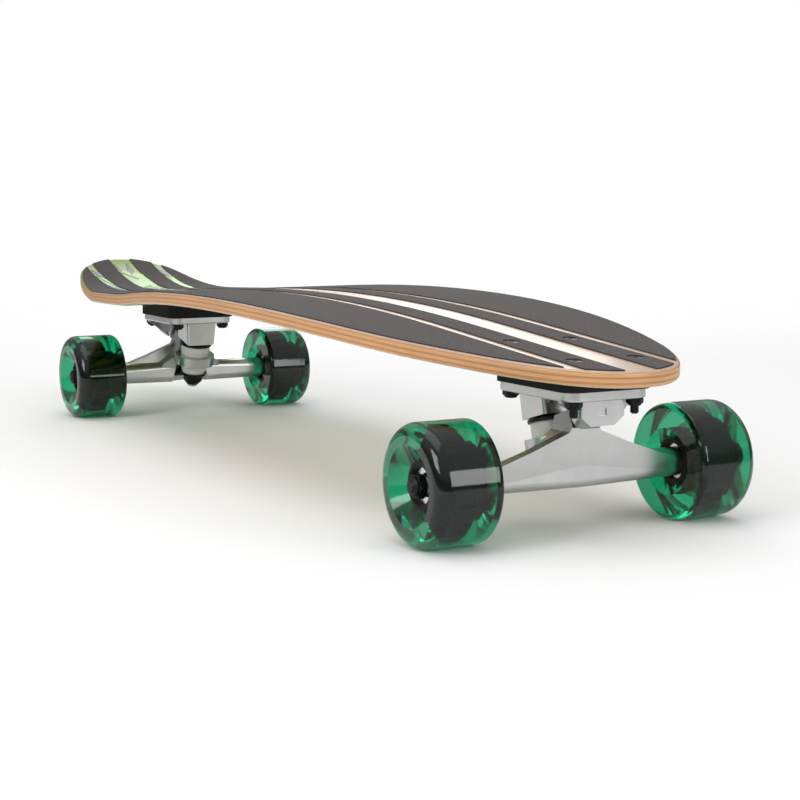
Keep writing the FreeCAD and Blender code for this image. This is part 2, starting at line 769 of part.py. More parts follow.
def core_blank():
    end = core_start_y + core_width
    flange_low = wheel_middle_y - core_flange_width / 2
    flange_high = wheel_middle_y + core_flange_width / 2
    foot = core_radius + core_flange_foot
    rim = core_flange_radius - core_edge
    return turned([
        (0, core_start_y), (core_radius, core_start_y), (core_radius, flange_low - core_flange_foot),
        (foot, flange_low), (rim, flange_low), (core_flange_radius, flange_low + core_edge),
        (core_flange_radius, flange_high - core_edge), (rim, flange_high), (foot, flange_high),
        (core_radius, flange_high + core_flange_foot), (core_radius, end), (0, end),
    ])


def core_solid():
    # hub blank with notches round its flange
    start = Vector(
        core_flange_radius - core_tooth_depth, -core_tooth_gap / 2, wheel_middle_y - core_flange_width / 2 - 1
    )
    notch = Part.makeBox(core_tooth_depth + 2, core_tooth_gap, core_flange_width + 2, start)
    notches = []
    for step in range(core_tooth_count):
        notches.append(placed(notch, Placement(Vector(), Rotation(Vector(0, 0, 1), 360 * step / core_tooth_count))))
    return core_blank().cut(notches)


def make_core():
    web_low = inner_bearing_y + bearing_width
    bores = [
        tube(0, bearing_radius, core_start_y - 1, web_low - core_start_y + 1),
        tube(0, bearing_radius, outer_bearing_y, core_width),
        tube(0, race_land_outer - 0.4, web_low - 1, bearing_spacer_length + 2),
    ]
    return core_solid().cut(bores)


def make_tyre():
    # urethane cast round the core, with rounded lips and a recess on each face
    low = tyre_start_y
    high = tyre_start_y + wheel_width
    radius = wheel_diameter / 2
    core_end = core_start_y + core_width
    outer_turn = wheel_outer_lip * (1 - math.sqrt(0.5))
    inner_turn = wheel_inner_lip * (1 - math.sqrt(0.5))
    edges = [
        Part.makeLine(Vector(0, 0, core_start_y), Vector(core_radius, 0, core_start_y)),
        Part.makeLine(Vector(core_radius, 0, core_start_y), Vector(wheel_recess_back, 0, low)),
        Part.makeLine(Vector(wheel_recess_back, 0, low), Vector(radius - wheel_inner_lip, 0, low)),
        Part.Arc(
            Vector(radius - wheel_inner_lip, 0, low), Vector(radius - inner_turn, 0, low + inner_turn),
            Vector(radius, 0, low + wheel_inner_lip),
        ).toShape(),
        Part.makeLine(Vector(radius, 0, low + wheel_inner_lip), Vector(radius, 0, high - wheel_outer_lip)),
        Part.Arc(
            Vector(radius, 0, high - wheel_outer_lip), Vector(radius - outer_turn, 0, high - outer_turn),
            Vector(radius - wheel_outer_lip, 0, high),
        ).toShape(),
        Part.makeLine(Vector(radius - wheel_outer_lip, 0, high), Vector(wheel_recess_mouth, 0, high)),
        Part.makeLine(Vector(wheel_recess_mouth, 0, high), Vector(core_radius, 0, core_end)),
        Part.makeLine(Vector(core_radius, 0, core_end), Vector(0, 0, core_end)),
        Part.makeLine(Vector(0, 0, core_end), Vector(0, 0, core_start_y)),
    ]
    face = Part.Face(Part.Wire(Part.__sortEdges__(edges)))
    blank = face.revolve(Vector(0, 0, 0), Vector(0, 0, 1), 360)
    return blank.cut(core_solid())


# Assembly -----------------------------------------------------------------------------------------


def truck_nodes():
    return {
        "baseplate": make_baseplate(),
        "kingpin": make_kingpin(),
        "kingpin_nut": make_kingpin_nut(),
        "pivot_cup": make_pivot_cup(),
        "boardside_bushing": make_boardside_bushing(),
        "roadside_bushing": make_roadside_bushing(),
        "boardside_washer": make_boardside_washer(),
        "roadside_washer": make_roadside_washer(),
        "hanger": make_hanger(),
        "axle": make_axle(),
        "axle_nuts": make_axle_nuts(),
        "speed_washers": make_speed_washers(),
        "bearing_spacers": make_bearing_spacers(),
        "inner_races": make_inner_races(),
    }


def wheel_nodes():
    starts = (inner_bearing_y, outer_bearing_y)
    return {
        "tyre": on_axle(make_tyre()),
        "core": on_axle(make_core()),
        "outer_races": on_axle(Part.makeCompound([outer_race(start) for start in starts])),
        "ball_sets": on_axle(Part.makeCompound(ball_set(starts[0]) + ball_set(starts[1]))),
    }


def make_skateboard():
    nodes = {}
    nodes.update(make_deck())
    nodes.update(make_grip())
    for end, axle_x, outward in (("front", front_axle_x, 1), ("rear", rear_axle_x, -1)):
        nodes[end + "_mounting_bolts"] = make_mounting_bolts(axle_x, outward)
        nodes[end + "_mounting_nuts"] = make_mounting_nuts(axle_x, outward)
        nodes[end + "_riser"] = make_riser(axle_x, outward)
    for name, shape in truck_nodes().items():
        nodes["front_" + name] = at_front(shape)
        nodes["rear_" + name] = at_rear(shape)
    for name, shape in wheel_nodes().items():
        nodes["front_left_" + name] = at_front(shape)
        nodes["front_right_" + name] = at_front(other_side(shape))
        nodes["rear_right_" + name] = at_rear(shape)
        nodes["rear_left_" + name] = at_rear(other_side(shape))
    return nodes


os.makedirs("parts", exist_ok=True)
for node_name, node_shape in make_skateboard().items():
    node_shape.exportStep("parts/" + node_name + ".step")
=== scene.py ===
import math
import random

import bpy
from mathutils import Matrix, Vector


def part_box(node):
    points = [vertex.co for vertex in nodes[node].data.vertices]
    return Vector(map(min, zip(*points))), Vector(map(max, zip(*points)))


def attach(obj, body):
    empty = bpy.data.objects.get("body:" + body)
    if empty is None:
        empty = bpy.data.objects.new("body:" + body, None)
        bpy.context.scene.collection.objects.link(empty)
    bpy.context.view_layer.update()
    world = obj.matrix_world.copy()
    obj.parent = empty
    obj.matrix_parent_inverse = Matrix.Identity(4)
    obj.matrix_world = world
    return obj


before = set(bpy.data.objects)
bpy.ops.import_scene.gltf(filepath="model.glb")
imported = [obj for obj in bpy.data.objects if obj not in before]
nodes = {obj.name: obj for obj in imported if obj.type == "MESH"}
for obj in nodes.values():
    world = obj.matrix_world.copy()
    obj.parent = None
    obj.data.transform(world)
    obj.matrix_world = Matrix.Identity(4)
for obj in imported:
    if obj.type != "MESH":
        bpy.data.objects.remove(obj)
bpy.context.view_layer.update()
bpy.ops.object.select_all(action="DESELECT")
print("frame loaded:", len(nodes), "nodes")

mm = 0.001


# the deck's underside and top heights along its middle line, read off the frame by dropping rays
knownHeights = {}


def surfaceHeight(node, x, y, fromAbove):
    key = (node, round(x, 5), round(y, 5), fromAbove)
    if key not in knownHeights:
        start = Vector((x, y, 0.3 if fromAbove else -0.1))
        hit, place, _, _ = nodes[node].ray_cast(start, Vector((0, 0, -1 if fromAbove else 1)))
        knownHeights[key] = place.z if hit else None
    return knownHeights[key]


deckLow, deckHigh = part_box("deck_core_plies")
deckLength = deckHigh.x - deckLow.x

# ---- materials


def linearFromHex(text):
    channels = [int(text[i:i + 2], 16) / 255 for i in (1, 3, 5)]
    return tuple(c / 12.92 if c <= 0.04045 else ((c + 0.055) / 1.055) ** 2.4 for c in channels) + (1.0,)


def addNode(tree, kind, settings=None, values=None, links=None):
    node = tree.nodes.new(kind)
    for name, value in (settings or {}).items():
        setattr(node, name, value)
    for socket, value in (values or {}).items():
        node.inputs[socket].default_value = value
    for socket, source in (links or {}).items():
        tree.links.new(source, node.inputs[socket])
    return node


def setRamp(node, stops):
    ramp = node.color_ramp
    while len(ramp.elements) < len(stops):
        ramp.elements.new(0.5)
    for element, (position, colour) in zip(ramp.elements, stops):
        element.position = position
        element.color = colour


def startMaterial(name, shaderValues):
    material = bpy.data.materials.new(name)
    material.use_nodes = True
    tree = material.node_tree
    tree.nodes.clear()
    shader = addNode(tree, "ShaderNodeBsdfPrincipled", values=shaderValues)
    addNode(tree, "ShaderNodeOutputMaterial", links={"Surface": shader.outputs["BSDF"]})
    place = addNode(tree, "ShaderNodeTexCoord").outputs["Object"]
    return material, tree, shader, place


def grey(value):
    return (value, value, value, 1.0)


# depth below the top of the deck's curve, in metres, from a curve of its side profile
profilePoints = 40


def layerHeight(tree, place):
    heights = []
    for step in range(profilePoints + 1):
        x = deckLow.x + 0.001 + (deckLength - 0.002) * step / profilePoints
        heights.append((x, surfaceHeight("deck_bottom_veneer", x, 0.0, False)))
    low = min(z for _, z in heights)
    high = max(z for _, z in heights)
    split = addNode(tree, "ShaderNodeSeparateXYZ", links={"Vector": place})
    along = addNode(tree, "ShaderNodeMapRange", values={
        "From Min": heights[0][0], "From Max": heights[-1][0]}, links={"Value": split.outputs["X"]})
    curve = addNode(tree, "ShaderNodeFloatCurve", links={"Value": along.outputs["Result"]})
    line = curve.mapping.curves[0]
    while len(line.points) < len(heights):
        line.points.new(0.5, 0.5)
    for point, (x, z) in zip(line.points, heights):
        point.location = ((x - heights[0][0]) / (heights[-1][0] - heights[0][0]), (z - low) / (high - low))
        point.handle_type = "AUTO"
    curve.mapping.update()
    under = addNode(tree, "ShaderNodeMapRange", values={"To Min": low, "To Max": high},
                    links={"Value": curve.outputs["Value"]})
    return addNode(tree, "ShaderNodeMath", {"operation": "SUBTRACT"},
                   links={0: split.outputs["Z"], 1: under.outputs["Result"]}).outputs["Value"]


# bamboo veneer under clear lacquer: fine straight fibres, laid in strips, each strip a little different
bambooSettings = dict(stripWidth=19.0, fibreWidth=0.9, fibreLength=95.0, bladeWidth=9.0, bladeReach=170.0)
undersideTones = dict(base="#dfc29c", pale="#e8d2b2", dark="#d0ab7d", fibre="#c49a68")
topTones = dict(base="#c3a68f", pale="#cfb6a1", dark="#b09078", fibre="#a37f66")


def bambooVeneer(name, tones, groundStart, groundInk):
    s = bambooSettings
    material, tree, shader, place = startMaterial(name, {
        "Roughness": 0.34, "Coat Weight": 0.35, "Coat Roughness": 0.16, "Specular IOR Level": 0.35})
    stretched = addNode(tree, "ShaderNodeMapping", values={
        "Scale": (1 / (s["fibreLength"] * mm), 1 / (s["fibreWidth"] * mm), 1 / (6 * mm))},
        links={"Vector": place})
    fibres = addNode(tree, "ShaderNodeTexNoise", values={"Scale": 1.0, "Detail": 4.0, "Roughness": 0.62},
                     links={"Vector": stretched.outputs["Vector"]})
    cloudMap = addNode(tree, "ShaderNodeMapping", values={"Scale": (7.0, 26.0, 12.0)},
                       links={"Vector": place})
    clouds = addNode(tree, "ShaderNodeTexNoise", values={"Scale": 1.0, "Detail": 3.0, "Roughness": 0.55},
                     links={"Vector": cloudMap.outputs["Vector"]})
    split = addNode(tree, "ShaderNodeSeparateXYZ", links={"Vector": place})
    strip = addNode(tree, "ShaderNodeMath", {"operation": "MULTIPLY"}, {1: 1 / (s["stripWidth"] * mm)},
                    {0: split.outputs["Y"]})
    stripIndex = addNode(tree, "ShaderNodeMath", {"operation": "FLOOR"}, links={0: strip.outputs["Value"]})
    stripTone = addNode(tree, "ShaderNodeTexWhiteNoise", {"noise_dimensions": "1D"},
                        links={"W": stripIndex.outputs["Value"]})
    # a joint across each strip every so often, where the cane had a node
    along = addNode(tree, "ShaderNodeMath", {"operation": "MULTIPLY_ADD"}, {1: 1 / 0.23},
                    {0: split.outputs["X"], 2: stripTone.outputs["Value"]})
    joint = addNode(tree, "ShaderNodeMath", {"operation": "PINGPONG"}, {1: 0.5}, {0: along.outputs["Value"]})
    jointMark = addNode(tree, "ShaderNodeMapRange", {"interpolation_type": "SMOOTHSTEP"}, {
        "From Min": 0.0, "From Max": 0.012, "To Min": 0.35, "To Max": 0.0}, {"Value": joint.outputs["Value"]})
    tone = addNode(tree, "ShaderNodeMath", {"operation": "MULTIPLY_ADD"}, {1: 0.34},
                   {0: stripTone.outputs["Value"], 2: jointMark.outputs["Result"]})
    shade = addNode(tree, "ShaderNodeMath", {"operation": "MULTIPLY_ADD"}, {1: 0.7},
                    {0: clouds.outputs["Fac"], 2: tone.outputs["Value"]})
    ground = addNode(tree, "ShaderNodeValToRGB", links={"Fac": shade.outputs["Value"]})
    setRamp(ground, [(0.2, linearFromHex(tones["pale"])), (0.62, linearFromHex(tones["base"])),
                     (1.0, linearFromHex(tones["dark"]))])
    fibreMask = addNode(tree, "ShaderNodeMapRange", values={
        "From Min": 0.46, "From Max": 0.72, "To Max": 0.45}, links={"Value": fibres.outputs["Fac"]})
    colour = addNode(tree, "ShaderNodeMix", {"data_type": "RGBA"}, {7: linearFromHex(tones["fibre"])},
                     {0: fibreMask.outputs["Result"], 6: ground.outputs["Color"]})
    # the grass printed over the tail: solid ink that breaks into blades along the grain
    blades = addNode(tree, "ShaderNodeTexNoise", values={"Scale": 1.0, "Detail": 2.0, "Roughness": 0.5}, links={
        "Vector": addNode(tree, "ShaderNodeMapping", values={
            "Scale": (3.0, 1 / (s["bladeWidth"] * mm), 0.0)}, links={"Vector": place}).outputs["Vector"]})
    depth = addNode(tree, "ShaderNodeMapRange", {"clamp": False}, {
        "From Min": groundStart + s["bladeReach"] * mm, "From Max": groundStart}, {"Value": split.outputs["X"]})
    grass = addNode(tree, "ShaderNodeMath", {"operation": "ADD"},
                    links={0: blades.outputs["Fac"], 1: depth.outputs["Result"]})
    grassMask = addNode(tree, "ShaderNodeMapRange", {"interpolation_type": "SMOOTHSTEP"}, {
        "From Min": 1.28, "From Max": 1.31, "To Max": 0.96}, {"Value": grass.outputs["Value"]})
    inkShade = addNode(tree, "ShaderNodeMapRange", values={"To Min": 0.86, "To Max": 1.1},
                       links={"Value": fibres.outputs["Fac"]})
    ink = addNode(tree, "ShaderNodeVectorMath", {"operation": "SCALE"}, {0: linearFromHex(groundInk)[:3]},
                  {"Scale": inkShade.outputs["Result"]})
    printed = addNode(tree, "ShaderNodeMix", {"data_type": "RGBA"}, links={
        0: grassMask.outputs["Result"], 6: colour.outputs[2], 7: ink.outputs["Vector"]})
    tree.links.new(printed.outputs[2], shader.inputs["Base Color"])
    rough = addNode(tree, "ShaderNodeMapRange", values={"To Min": 0.28, "To Max": 0.46},
                    links={"Value": fibres.outputs["Fac"]})
    tree.links.new(rough.outputs["Result"], shader.inputs["Roughness"])
    bump = addNode(tree, "ShaderNodeBump", values={"Strength": 0.12, "Distance": 0.0002},
                   links={"Height": fibres.outputs["Fac"]})
    tree.links.new(bump.outputs["Normal"], shader.inputs["Normal"])
    return material


# sanded maple ply edges: thin layers, every other one showing its darker end grain, sealed satin
plySettings = dict(pale="#d8a674", dark="#bd8655", glue="#96633b", thickness=1.5, start=0.8)


def mapleEdge():
    s = plySettings
    material, tree, shader, place = startMaterial("maplePliesSatinSealed", {
        "Roughness": 0.42, "Coat Weight": 0.25, "Coat Roughness": 0.25})
    height = layerHeight(tree, place)
    layer = addNode(tree, "ShaderNodeMath", {"operation": "MULTIPLY_ADD"}, {
        1: 1 / (s["thickness"] * mm), 2: -s["start"] / s["thickness"]}, {0: height})
    alternate = addNode(tree, "ShaderNodeMath", {"operation": "PINGPONG"}, {1: 1.0}, {0: layer.outputs["Value"]})
    band = addNode(tree, "ShaderNodeMapRange", {"interpolation_type": "SMOOTHSTEP"}, {
        "From Min": 0.38, "From Max": 0.62}, {"Value": alternate.outputs["Value"]})
    nearGlue = addNode(tree, "ShaderNodeMath", {"operation": "PINGPONG"}, {1: 0.5}, {0: layer.outputs["Value"]})
    glue = addNode(tree, "ShaderNodeMapRange", {"interpolation_type": "SMOOTHSTEP"}, {
        "From Min": 0.03, "From Max": 0.11, "To Min": 0.5, "To Max": 0.0}, {"Value": nearGlue.outputs["Value"]})
    grainMap = addNode(tree, "ShaderNodeMapping", values={
        "Scale": (1 / (14 * mm), 1 / (14 * mm), 1 / (0.35 * mm))}, links={"Vector": place})
    grain = addNode(tree, "ShaderNodeTexNoise", values={"Scale": 1.0, "Detail": 4.0, "Roughness": 0.6},
                    links={"Vector": grainMap.outputs["Vector"]})
    wide = addNode(tree, "ShaderNodeTexNoise", values={"Scale": 14.0, "Detail": 2.0}, links={"Vector": place})
    layers = addNode(tree, "ShaderNodeMix", {"data_type": "RGBA"}, {
        6: linearFromHex(s["pale"]), 7: linearFromHex(s["dark"])}, {0: band.outputs["Result"]})
    grainTone = addNode(tree, "ShaderNodeMapRange", values={"To Min": 0.72, "To Max": 1.28},
                        links={"Value": grain.outputs["Fac"]})
    wideTone = addNode(tree, "ShaderNodeMapRange", values={"To Min": 0.86, "To Max": 1.12},
                       links={"Value": wide.outputs["Fac"]})
    toneMix = addNode(tree, "ShaderNodeMath", {"operation": "MULTIPLY"},
                      links={0: grainTone.outputs["Result"], 1: wideTone.outputs["Result"]})
    toned = addNode(tree, "ShaderNodeVectorMath", {"operation": "SCALE"},
                    links={0: layers.outputs[2], "Scale": toneMix.outputs["Value"]})
    colour = addNode(tree, "ShaderNodeMix", {"data_type": "RGBA"}, {7: linearFromHex(s["glue"])},
                     {0: glue.outputs["Result"], 6: toned.outputs["Vector"]})
    tree.links.new(colour.outputs[2], shader.inputs["Base Color"])
    bump = addNode(tree, "ShaderNodeBump", values={"Strength": 0.25, "Distance": 0.00015},
                   links={"Height": grain.outputs["Fac"]})
    tree.links.new(bump.outputs["Normal"], shader.inputs["Normal"])
    return material


# silicon-carbide grip tape: charcoal paper covered in sharp grit, with a painted glint: a few grains painted lighter
# as if catching the light
gripSettings = dict(paper="#252120", grit="#4d4643", paintedGlint="#9d958f", gritSize=0.9)


def gripTape():
    s = gripSettings
    material, tree, shader, place = startMaterial("siliconCarbideGripTape", {
        "Roughness": 0.86, "Specular IOR Level": 0.35, "Sheen Weight": 0.08, "Sheen Roughness": 0.6})
    grit = addNode(tree, "ShaderNodeTexVoronoi", {"feature": "F1"}, {"Scale": 1 / (s["gritSize"] * mm)},
                   {"Vector": place})
    specks = addNode(tree, "ShaderNodeTexNoise", values={"Scale": 1 / (1.6 * mm), "Detail": 5.0, "Roughness": 0.7},
                     links={"Vector": place})
    wear = addNode(tree, "ShaderNodeTexNoise", values={"Scale": 9.0, "Detail": 3.0}, links={"Vector": place})
    base = addNode(tree, "ShaderNodeMix", {"data_type": "RGBA"}, {
        6: linearFromHex(s["paper"]), 7: linearFromHex(s["grit"])}, {0: specks.outputs["Fac"]})
    # painted glint: the brightest grit cells get a lighter colour, as if they caught the light
    paintedGlintMask = addNode(tree, "ShaderNodeMapRange", values={"From Min": 0.93, "From Max": 0.97, "To Max": 0.8},
                        links={"Value": grit.outputs["Color"]})
    paintedGlinted = addNode(tree, "ShaderNodeMix", {"data_type": "RGBA"}, {7: linearFromHex(s["paintedGlint"])},
                      {0: paintedGlintMask.outputs["Result"], 6: base.outputs[2]})
    wearTone = addNode(tree, "ShaderNodeMapRange", values={"To Min": 0.82, "To Max": 1.2},
                       links={"Value": wear.outputs["Fac"]})
    toned = addNode(tree, "ShaderNodeVectorMath", {"operation": "SCALE"},
                    links={0: paintedGlinted.outputs[2], "Scale": wearTone.outputs["Result"]})
    tree.links.new(toned.outputs["Vector"], shader.inputs["Base Color"])
    bump = addNode(tree, "ShaderNodeBump", {"invert": True}, {"Strength": 0.75, "Distance": 0.00035},
                   {"Height": grit.outputs["Distance"]})
    tree.links.new(bump.outputs["Normal"], shader.inputs["Normal"])
    return material


# cast urethane, clear emerald: light passes through and bends, so the hub swells behind the tread
def clearUrethane():
    material, tree, shader, place = startMaterial("emeraldCastUrethane", {
        "Base Color": linearFromHex("#0b9a68"), "Roughness": 0.06, "IOR": 1.5, "Transmission Weight": 1.0,
        "Specular IOR Level": 0.5})
    haze = addNode(tree, "ShaderNodeTexNoise", values={"Scale": 60.0, "Detail": 3.0}, links={"Vector": place})
    rough = addNode(tree, "ShaderNodeMapRange", values={"To Min": 0.03, "To Max": 0.12},
                    links={"Value": haze.outputs["Fac"]})
    tree.links.new(rough.outputs["Result"], shader.inputs["Roughness"])
    tint = addNode(tree, "ShaderNodeMix", {"data_type": "RGBA"}, {
        6: linearFromHex("#0c9a68"), 7: linearFromHex("#17b482")}, {0: haze.outputs["Fac"]})
    tree.links.new(tint.outputs[2], shader.inputs["Base Color"])
    fine = addNode(tree, "ShaderNodeTexNoise", values={"Scale": 900.0, "Detail": 2.0}, links={"Vector": place})
    bump = addNode(tree, "ShaderNodeBump", values={"Strength": 0.04, "Distance": 0.0002},
                   links={"Height": fine.outputs["Fac"]})
    tree.links.new(bump.outputs["Normal"], shader.inputs["Normal"])
    return material


# one plain finish with a fine mottle in colour, roughness and surface, for moulded, plated and cast pieces
def mottledFinish(name, dark, light, rough, values, grain=1.2, bumpDepth=0.05, patch=18.0):
    material, tree, shader, place = startMaterial(name, values)
    patches = addNode(tree, "ShaderNodeTexNoise", values={"Scale": 1 / (patch * mm), "Detail": 4.0, "Roughness": 0.6},
                      links={"Vector": place})
    colour = addNode(tree, "ShaderNodeMix", {"data_type": "RGBA"}, {
        6: linearFromHex(dark), 7: linearFromHex(light)}, {0: patches.outputs["Fac"]})
    tree.links.new(colour.outputs[2], shader.inputs["Base Color"])
    fine = addNode(tree, "ShaderNodeTexNoise", values={"Scale": 1 / (grain * mm), "Detail": 5.0, "Roughness": 0.65},
                   links={"Vector": place})
    roughness = addNode(tree, "ShaderNodeMapRange", values={"To Min": rough[0], "To Max": rough[1]},
                        links={"Value": patches.outputs["Fac"]})
    tree.links.new(roughness.outputs["Result"], shader.inputs["Roughness"])
    bump = addNode(tree, "ShaderNodeBump", values={"Strength": 0.5, "Distance": bumpDepth * mm},
                   links={"Height": fine.outputs["Fac"]})
    tree.links.new(bump.outputs["Normal"], shader.inputs["Normal"])
    return material


bottomBamboo = bambooVeneer("bambooVeneerLacqueredUnderside", undersideTones, -0.135, "#93b40c")
topBamboo = bambooVeneer("bambooVeneerLacqueredTop", topTones, -0.315, "#6c8f10")
mapleMaterial = mapleEdge()
gripMaterial = gripTape()
urethaneMaterial = clearUrethane()
# die-cast aluminium, tumbled and buffed: bright satin with soft uneven gloss
castAluminium = mottledFinish("buffedCastAluminium", "#a6a7a8", "#d6d6d4", (0.24, 0.36),
                              {"Metallic": 1.0}, 2.4, 0.008, 34.0)
# black-oxide steel: near black, oily satin, a little brown in it
blackSteel = mottledFinish("blackOxideSteel", "#111113", "#26262a", (0.28, 0.5),
                           {"Metallic": 0.75}, 0.7, 0.02, 6.0)
# zinc-plated steel: cool bright grey, faintly cloudy
zincSteel = mottledFinish("zincPlatedSteel", "#9fa3a6", "#cfd1d2", (0.2, 0.38),
                          {"Metallic": 1.0}, 0.6, 0.015, 5.0)
# ground and polished bearing steel: mirror-like with a hint of haze
bearingSteel = mottledFinish("polishedBearingSteel", "#b9bcc0", "#dfe1e3", (0.08, 0.2),
                             {"Metallic": 1.0}, 0.5, 0.006, 4.0)
# moulded black rubber: dead matt with a fine dusty bloom
riserRubber = mottledFinish("mouldedRiserRubber", "#141415", "#232324", (0.7, 0.88),
                            {"Specular IOR Level": 0.3}, 0.5, 0.05)
# glass-filled nylon hub: deep black, lightly glossy from the mould
hubNylon = mottledFinish("mouldedHubNylon", "#140c0b", "#1e1412", (0.45, 0.6),
                         {"Specular IOR Level": 0.22}, 0.6, 0.02)
# pale cast urethane bushings: milky, waxy, light sinks in a little
bushingUrethane = mottledFinish("milkyBushingUrethane", "#c9c9c2", "#e2e2dc", (0.3, 0.45), {
    "Subsurface Weight": 0.25, "Subsurface Scale": 0.004, "Subsurface Radius": (1.0, 0.9, 0.8)}, 0.9, 0.02)
pivotUrethane = mottledFinish("blackPivotUrethane", "#161617", "#242426", (0.4, 0.6), {}, 0.8, 0.02)

finishOf = {
    "deck_bottom_veneer": bottomBamboo, "deck_top_veneer": topBamboo, "deck_core_plies": mapleMaterial,
    "grip": gripMaterial, "tyre": urethaneMaterial, "core": hubNylon, "outer_races": bearingSteel,
    "ball_sets": bearingSteel, "inner_races": bearingSteel, "speed_washers": zincSteel, "bearing_spacers": zincSteel,
    "axle_nuts": blackSteel, "axle": blackSteel, "hanger": castAluminium, "baseplate": castAluminium,
    "kingpin_nut": blackSteel, "kingpin": zincSteel, "washer": blackSteel, "bushing": bushingUrethane,
    "pivot_cup": pivotUrethane, "riser": riserRubber, "mounting": blackSteel,
}


def finishFor(node):
    if node in finishOf:
        return finishOf[node]
    for word, material in finishOf.items():
        if word in node:
            return material


for nodeName, node in nodes.items():
    finish = finishFor(nodeName)
    for slot in node.material_slots:
        slot.material = finish
    if nodeName.endswith("_core"):
        # the urethane is cast onto the hub, so no air gap is left between the two faces
        bond = node.modifiers.new("castBond", "DISPLACE")
        bond.strength = 0.06 * mm
        bond.mid_level = 0.0
print("finishes assigned")

# ---- printed bamboo grove: thin ink films, drawn flat and then laid onto the veneer

# each ink with its colours and how thick its film is, in mm: a thicker film lies over a thinner one
inkSettings = {
    "lime": dict(dark="#83a60a", light="#a5c713", film=0.06),
    "deepGreen": dict(dark="#0c4a26", light="#14663a", film=0.13),
    "caneGreen": dict(dark="#4f8a14", light="#70a822", film=0.20),
    "leafGreen": dict(dark="#5c9a17", light="#83bb35", film=0.27),
    "black": dict(dark="#120d0c", light="#1d1614", film=0.34),
    "pale": dict(dark="#c9cf8c", light="#e6e3b8", film=0.41),
}


def screenInk(name):
    # screen-printed ink under lacquer: flat and even, with the wood's fibres showing faintly through
    s = inkSettings[name]
    material, tree, shader, place = startMaterial(name + "ScreenPrintedInk", {
        "Roughness": 0.36, "Coat Weight": 0.35, "Coat Roughness": 0.16, "Specular IOR Level": 0.35})
    stretched = addNode(tree, "ShaderNodeMapping", values={
        "Scale": (1 / (95 * mm), 1 / (1.1 * mm), 1 / (6 * mm))}, links={"Vector": place})
    fibres = addNode(tree, "ShaderNodeTexNoise", values={"Scale": 1.0, "Detail": 3.0, "Roughness": 0.6},
                     links={"Vector": stretched.outputs["Vector"]})
    wide = addNode(tree, "ShaderNodeTexNoise", values={"Scale": 22.0, "Detail": 2.0}, links={"Vector": place})
    blend = addNode(tree, "ShaderNodeMath", {"operation": "MULTIPLY_ADD"}, {1: 0.55},
                    {0: fibres.outputs["Fac"], 2: wide.outputs["Fac"]})
    amount = addNode(tree, "ShaderNodeMapRange", values={"From Min": 0.5, "From Max": 1.05},
                     links={"Value": blend.outputs["Value"]})
    colour = addNode(tree, "ShaderNodeMix", {"data_type": "RGBA"}, {
        6: linearFromHex(s["dark"]), 7: linearFromHex(s["light"])}, {0: amount.outputs["Result"]})
    tree.links.new(colour.outputs[2], shader.inputs["Base Color"])
    bump = addNode(tree, "ShaderNodeBump", values={"Strength": 0.1, "Distance": 0.0001},
                   links={"Height": fibres.outputs["Fac"]})
    tree.links.new(bump.outputs["Normal"], shader.inputs["Normal"])
    return material


inkMaterials = {name: screenInk(name) for name in inkSettings}


def drawRibbon(corners, step=6.0):
    # a flat strip through (x, y, half width) corners in mm,
    # drawn out from one plane edge by edge in short steps
    stations = [corners[0]]
    for before, after in zip(corners, corners[1:]):
        count = max(1, math.ceil(abs(after[0] - before[0]) / step))
        stations += [tuple(b + (a - b) * i / count for b, a in zip(before, after)) for i in range(1, count + 1)]
    (x, y, half), rest = stations[0], stations[1:]
    firstLength = rest[0][0] - x
    bpy.ops.object.select_all(action="DESELECT")
    bpy.ops.mesh.primitive_plane_add(size=1.0, location=((x + firstLength / 2) * mm, y * mm, 0))
    strip = bpy.context.object
    strip.scale = (abs(firstLength) * mm, 2 * half * mm, 1)
    bpy.ops.object.transform_apply(location=True, rotation=True, scale=True)
    for vertex in strip.data.vertices:
        vertex.select = (vertex.co.x > (x + firstLength / 2) * mm) == (firstLength > 0)
    for edge in strip.data.edges:
        edge.select = all(strip.data.vertices[i].select for i in edge.vertices)
    for face in strip.data.polygons:
        face.select = False
    bpy.ops.object.mode_set(mode="EDIT")
    bpy.ops.mesh.select_mode(type="EDGE")
    bpy.ops.transform.translate(value=(0, (rest[0][1] - y) * mm, 0))
    bpy.ops.transform.resize(value=(1, rest[0][2] / half, 1),
                             center_override=(rest[0][0] * mm, rest[0][1] * mm, 0))
    for before, after in zip(rest, rest[1:]):
        step = ((after[0] - before[0]) * mm, (after[1] - before[1]) * mm, 0)
        bpy.ops.mesh.extrude_region_move(TRANSFORM_OT_translate={"value": step})
        bpy.ops.transform.resize(value=(1, after[2] / before[2], 1),
                                 center_override=(after[0] * mm, after[1] * mm, 0))
    bpy.ops.object.mode_set(mode="OBJECT")
    return strip


leafProfile = [(0, 0, 0.04), (130, 50, 0.12), (280, 110, 0.27), (430, 150, 0.44), (560, 160, 0.5), (690, 140, 0.43),
               (820, 95, 0.28), (925, 45, 0.12), (1000, 0, 0.012)]
plainLeaf = drawRibbon([(x, y, half * 1000) for x, y, half in leafProfile], 1000)
plainLeaf.name = "plainLeaf"


# half the deck's width every few millimetres along it, found by dropping rays further and further out
edgeStep = 6.0
rimGap = 4  # bare veneer kept between a leaf and the rim
shortestLeaf = 12


def deckEdge(x):
    y = 30.0
    while surfaceHeight("deck_bottom_veneer", x * mm, y * mm, False) is not None:
        y += 2.0
    return y


edgeTable = [deckEdge(deckLow.x / mm + edgeStep * (i + 0.5)) for i in range(int(deckLength / mm / edgeStep))]


def edgeNear(x):
    # the deck's least half width near x, or nothing past its ends
    index = int((x - deckLow.x / mm) / edgeStep)
    return min(edgeTable[index - 1:index + 2]) if 1 <= index < len(edgeTable) - 1 else 0.0


def onDeck(x, y, margin):
    return abs(y) < edgeNear(x) - margin


